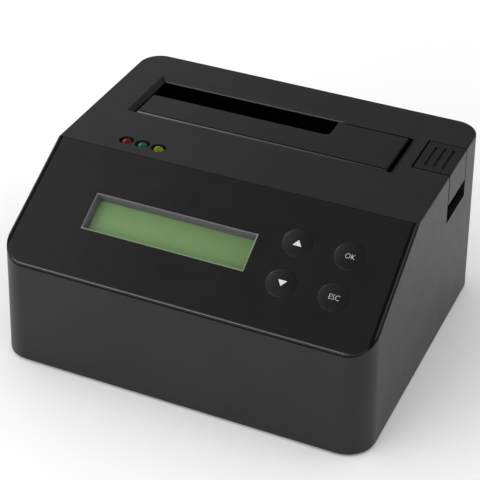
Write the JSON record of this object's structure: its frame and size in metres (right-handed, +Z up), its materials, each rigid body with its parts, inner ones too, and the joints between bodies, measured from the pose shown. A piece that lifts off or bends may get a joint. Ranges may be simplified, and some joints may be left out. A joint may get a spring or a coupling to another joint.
{
  "type": "hard drive eraser dock",
  "caption": "Black wedge-fronted desk-top dock that wipes bare hard drives, with a flapped drive slot in its top, a sloping panel with display and keys, and an eject button.",
  "frame": {"origin": "on the table, under the middle of the footprint", "axes": "+X to the right along the width, +Y to the rear, +Z up"},
  "size_m": [0.15, 0.129, 0.0726],
  "materials": {
    "casing": "satin black moulding, fine grain",
    "panel": "smooth black moulding",
    "grey": "matt dark grey moulding",
    "clear": "clear",
    "lcd": "yellow-green display, blank",
    "bezel": "black sheet",
    "white": "white",
    "key": "satin black",
    "plunger": "black",
    "led_red": "tinted lamp",
    "led_green": "tinted lamp",
    "led_yellow": "tinted lamp",
    "flap": "satin black",
    "bay": "black",
    "eject": "satin black",
    "board": "green circuit board",
    "connector": "black",
    "rocker": "black",
    "tin": "tinned",
    "can": "sleeved can",
    "ribbon": "grey ribbon",
    "rubber": "matt",
    "steel": "plain"
  },
  "bodies": {
    "chassis": {"main_casing": "casing", "control_panel": "panel", "lcd_frame": "grey", "lcd_lens": "clear", "lcd_glass": "lcd", "lcd_backlight": "white", "lcd_bezel": "bezel", "lcd_board": "board", "lcd_screws": "steel", "key_switches": "connector", "key_board": "board", "key_board_screws": "steel", "led_red": "led_red", "led_green": "led_green", "led_yellow": "led_yellow", "led_board": "board", "led_board_screws": "steel", "base_plate": "casing", "rubber_feet": "rubber", "base_screws": "steel", "drive_bay": "bay", "bay_screws": "steel", "flap_pin": "steel", "flap_spring": "steel", "eject_spring": "steel", "eject_pin": "steel", "main_board": "board", "board_screws": "steel", "board_chips": "connector", "board_capacitors": "can", "sata_connector": "connector", "usb_shell": "tin", "usb_tongue": "white", "dc_jack": "connector", "dc_pin": "tin", "switch_body": "connector", "lcd_header": "connector", "board_header": "connector", "lcd_ribbon": "ribbon", "panel_screws": "steel"},
    "flap": {"slot_flap": "flap"},
    "eject": {"eject_button": "eject"},
    "lever": {"eject_lever": "bay"},
    "rocker": {"power_rocker": "rocker"},
    "key_up": {"key_up": "key", "plunger_up": "plunger"},
    "key_down": {"key_down": "key", "plunger_down": "plunger"},
    "key_ok": {"key_ok": "key", "plunger_ok": "plunger"},
    "key_esc": {"key_esc": "key", "plunger_esc": "plunger"}
  },
  "joints": [
    {"name": "flap_hinge", "type": "hinge", "parent": "chassis", "child": "flap", "pos_m": [0, 0.0129, 0.0676], "axis": [-1, 0, 0], "range_deg": [0, 88], "deforming": ["flap_spring"]},
    {"name": "eject_press", "type": "slide", "parent": "chassis", "child": "eject", "axis": [0, 0, -1], "range_m": [0, 0.007], "stiffness_N_per_m": 400, "deforming": ["eject_spring"]},
    {"name": "eject_rock", "type": "hinge", "parent": "chassis", "child": "lever", "pos_m": [0.052, 0.0314, 0.0102], "axis": [0, 1, 0], "range_deg": [0, 29.6]},
    {"name": "key_up_press", "type": "slide", "parent": "chassis", "child": "key_up", "axis": [0, 0.4914, -0.8709], "range_m": [0, 0.0005], "stiffness_N_per_m": 1500},
    {"name": "key_down_press", "type": "slide", "parent": "chassis", "child": "key_down", "axis": [0, 0.4914, -0.8709], "range_m": [0, 0.0005], "stiffness_N_per_m": 1500},
    {"name": "key_ok_press", "type": "slide", "parent": "chassis", "child": "key_ok", "axis": [0, 0.4914, -0.8709], "range_m": [0, 0.0005], "stiffness_N_per_m": 1500},
    {"name": "key_esc_press", "type": "slide", "parent": "chassis", "child": "key_esc", "axis": [0, 0.4914, -0.8709], "range_m": [0, 0.0005], "stiffness_N_per_m": 1500},
    {"name": "power_rock", "type": "hinge", "parent": "chassis", "child": "rocker", "pos_m": [-0.051, 0.0615, 0.0162], "axis": [-1, 0, 0], "range_deg": [0, 18]}
  ],
  "couplings": [
    {"joint": "eject_rock", "follows": "eject_press", "rad_per_m": 73.6}
  ]
}
